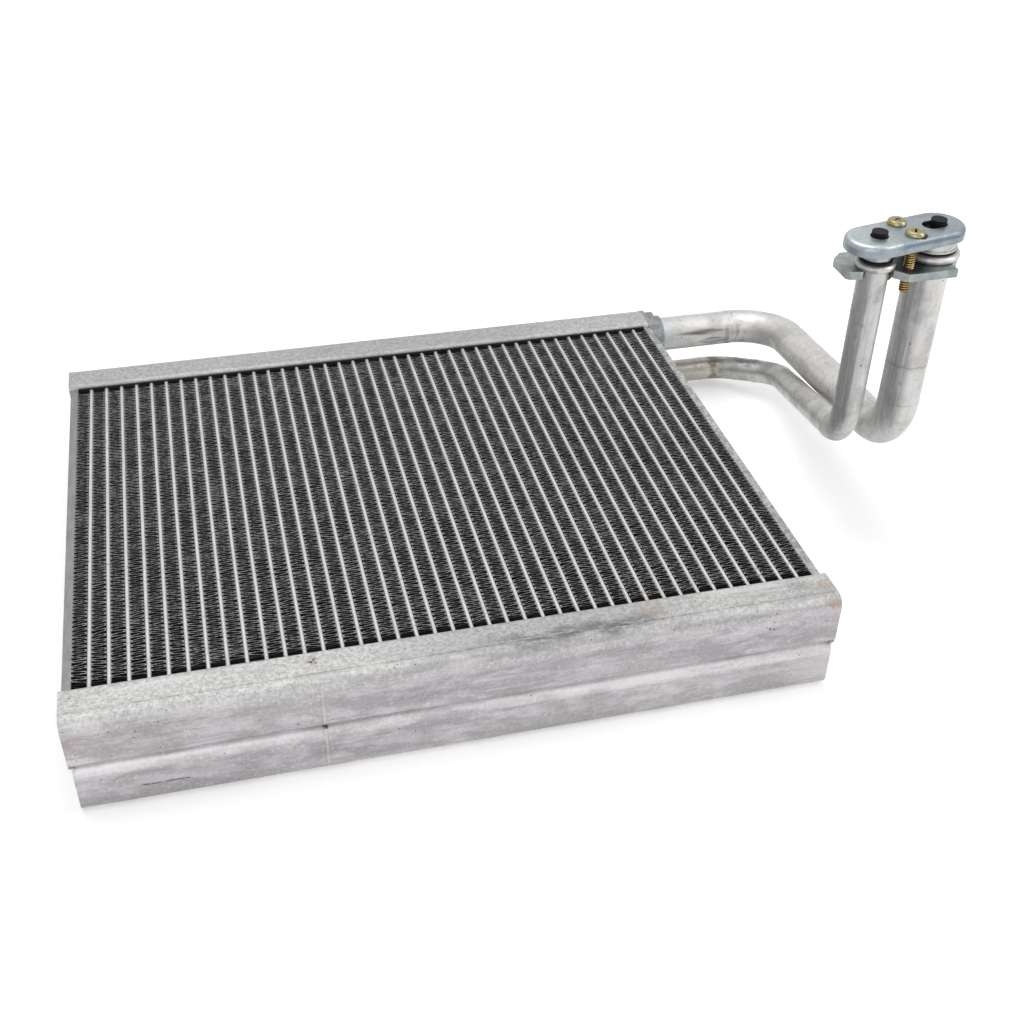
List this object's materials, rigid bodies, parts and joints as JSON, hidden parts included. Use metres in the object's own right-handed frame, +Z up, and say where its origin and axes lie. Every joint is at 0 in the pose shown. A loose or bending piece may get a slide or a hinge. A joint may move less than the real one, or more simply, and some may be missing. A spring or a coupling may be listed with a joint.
{
  "type": "evaporator core",
  "caption": "Aluminium evaporator core with flat tubes, folded fins and two-chamber tanks; two bent pipes rise to a capped connector",
  "frame": {"origin": "middle of the front tank's flat underside", "axes": "+X along the tanks towards the pipes, +Y from the front tank to the rear tank, +Z up"},
  "size_m": [0.3405, 0.2263, 0.1474],
  "materials": {
    "tank_aluminium": "satin, brazed, with flux mottling",
    "brazed_aluminium": "speckled grey with whitish flux residue",
    "tube_aluminium": "matt extruded aluminium",
    "fin_aluminium": "dark coated strip with bare bright edges",
    "block_aluminium": "dark machined block",
    "pipe_aluminium": "satin drawn tube with streaks and bend marks",
    "zinc_plated_steel": "bluish zinc plating",
    "yellow_zinc": "yellow passivated zinc",
    "black_rubber": "matt black rubber"
  },
  "bodies": {
    "root": {"front_tank": "tank_aluminium", "front_header_plate": "brazed_aluminium", "rear_tank": "tank_aluminium", "rear_header_plate": "brazed_aluminium", "front_left_end_cap": "tank_aluminium", "front_right_end_cap": "tank_aluminium", "rear_left_end_cap": "tank_aluminium", "port_block": "block_aluminium", "front_upper_baffle": "brazed_aluminium", "front_lower_baffle": "brazed_aluminium", "left_side_plate": "brazed_aluminium", "right_side_plate": "brazed_aluminium", "upper_tubes_left_of_baffle": "tube_aluminium", "upper_tubes_right_of_baffle": "tube_aluminium", "lower_tubes_left_of_baffle": "tube_aluminium", "lower_tubes_right_of_baffle": "tube_aluminium", "fin_group_1": "fin_aluminium", "fin_group_2": "fin_aluminium", "fin_group_3": "fin_aluminium", "fin_group_4": "fin_aluminium", "fin_group_5": "fin_aluminium", "fin_group_6": "fin_aluminium", "fin_group_7": "fin_aluminium", "suction_pipe": "pipe_aluminium", "liquid_pipe": "pipe_aluminium", "suction_seal_ring": "black_rubber", "liquid_seal_ring": "black_rubber", "retaining_plate": "zinc_plated_steel", "shipping_cap": "zinc_plated_steel", "suction_plug": "black_rubber", "liquid_plug": "black_rubber", "cap_screws": "yellow_zinc"}
  },
  "joints": []
}
